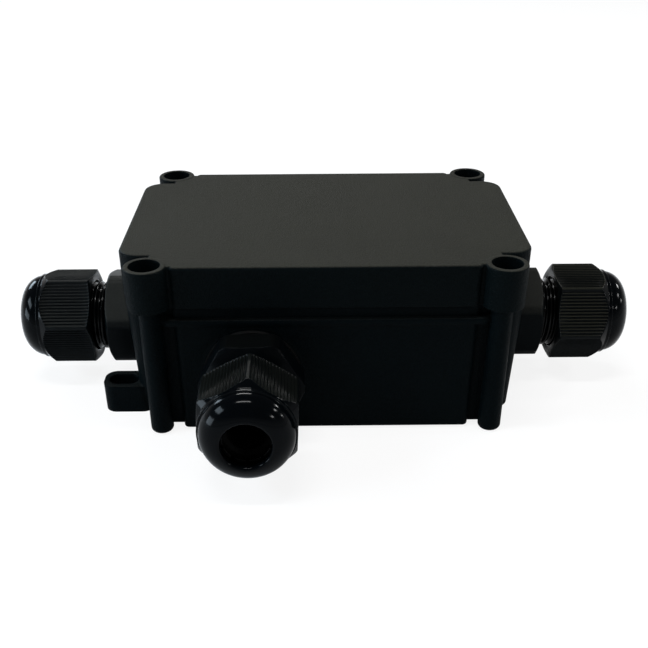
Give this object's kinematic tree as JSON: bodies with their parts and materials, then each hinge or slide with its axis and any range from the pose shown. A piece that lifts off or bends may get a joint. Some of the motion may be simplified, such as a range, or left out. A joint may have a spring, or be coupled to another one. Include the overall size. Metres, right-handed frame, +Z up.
{
  "type": "cable combiner box",
  "caption": "Black waterproof combiner box with screwed lid, corner columns, mounting ears, terminal strip and a ribbed cable gland on each of three walls.",
  "frame": {"origin": "on the plane of the feet, midway between the four lid screws", "axes": "+Z up through the lid, +X towards the right gland, -Y towards the front gland"},
  "size_m": [0.1754, 0.1093, 0.0481],
  "materials": {
    "housing": "fine grained black moulding",
    "gland_plastic": "satin to gloss black nylon",
    "seal_rubber": "matte black rubber",
    "brass": "turned",
    "screw_steel": "zinc plated",
    "terminal_white": "natural nylon"
  },
  "bodies": {
    "base": {"base_box": "housing", "lid_gasket": "seal_rubber", "thread_inserts": "brass", "terminal_strip": "terminal_white", "terminal_barrels": "brass", "clamp_screws": "screw_steel", "strip_screws": "screw_steel", "left_gland_washer": "seal_rubber", "left_gland_body": "gland_plastic", "left_gland_locknut": "gland_plastic", "right_gland_washer": "seal_rubber", "right_gland_body": "gland_plastic", "right_gland_locknut": "gland_plastic", "front_gland_washer": "seal_rubber", "front_gland_body": "gland_plastic", "front_gland_locknut": "gland_plastic"},
    "lid": {"lid": "housing", "lid_screws": "screw_steel"},
    "left_cage": {"left_gland_cage": "gland_plastic", "left_gland_seal": "seal_rubber"},
    "left_nut": {"left_gland_nut": "gland_plastic"},
    "right_cage": {"right_gland_cage": "gland_plastic", "right_gland_seal": "seal_rubber"},
    "right_nut": {"right_gland_nut": "gland_plastic"},
    "front_cage": {"front_gland_cage": "gland_plastic", "front_gland_seal": "seal_rubber"},
    "front_nut": {"front_gland_nut": "gland_plastic"}
  },
  "joints": [
    {"name": "lid_lift", "type": "slide", "parent": "base", "child": "lid", "axis": [0, 0, 1], "range_m": [0, 0.03]},
    {"name": "left_cage_slide", "type": "slide", "parent": "base", "child": "left_cage", "axis": [-1, 0, 0], "range_m": [-0.003, 0.00825]},
    {"name": "left_nut_turn", "type": "hinge", "parent": "left_cage", "child": "left_nut", "pos_m": [-0.0534, 0, 0.0176], "axis": [-1, 0, 0], "range_deg": [-540, 1485]},
    {"name": "right_cage_slide", "type": "slide", "parent": "base", "child": "right_cage", "axis": [1, 0, 0], "range_m": [-0.003, 0.00825]},
    {"name": "right_nut_turn", "type": "hinge", "parent": "right_cage", "child": "right_nut", "pos_m": [0.0534, 0, 0.0176], "axis": [1, 0, 0], "range_deg": [-540, 1485]},
    {"name": "front_cage_slide", "type": "slide", "parent": "base", "child": "front_cage", "axis": [0, -1, 0], "range_m": [-0.003, 0.00825]},
    {"name": "front_nut_turn", "type": "hinge", "parent": "front_cage", "child": "front_nut", "pos_m": [-0.0193, -0.0353, 0.0176], "axis": [0, -1, 0], "range_deg": [-540, 1485]}
  ],
  "couplings": [
    {"joint": "left_cage_slide", "follows": "left_nut_turn", "m_per_rad": 0.00031831},
    {"joint": "right_cage_slide", "follows": "right_nut_turn", "m_per_rad": 0.00031831},
    {"joint": "front_cage_slide", "follows": "front_nut_turn", "m_per_rad": 0.00031831}
  ]
}
